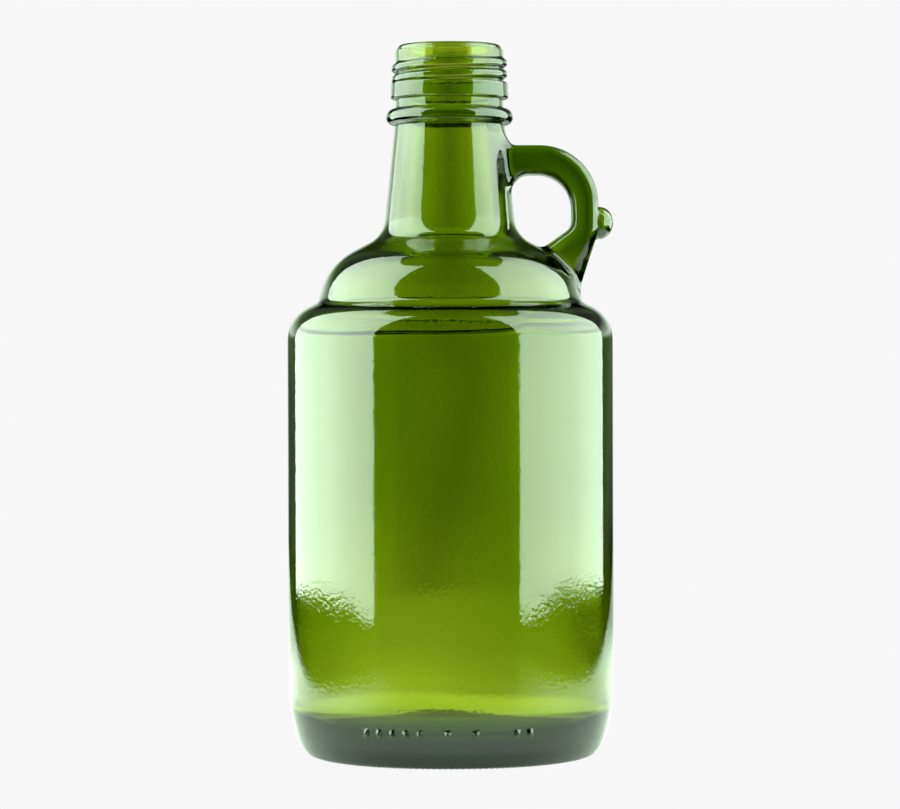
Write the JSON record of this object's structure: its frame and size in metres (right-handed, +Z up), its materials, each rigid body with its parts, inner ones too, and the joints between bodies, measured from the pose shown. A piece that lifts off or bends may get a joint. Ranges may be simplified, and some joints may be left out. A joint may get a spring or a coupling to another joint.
{
  "type": "glass jug",
  "caption": "Straight-sided green glass jug with a stepped shoulder, a tapering neck threaded for a screw cap and a small finger loop from neck to shoulder.",
  "frame": {"origin": "centre of the ring that the jug stands on, in the plane of that ring", "axes": "+Z up along the axis of the body and neck, +X towards the finger loop"},
  "size_m": [0.0922, 0.092, 0.201],
  "materials": {
    "green_glass": "clear moulded yellow-green glass, fire-polished, with a faint mould ripple"
  },
  "bodies": {
    "root": {"bottle": "green_glass", "handle": "green_glass"}
  },
  "joints": []
}
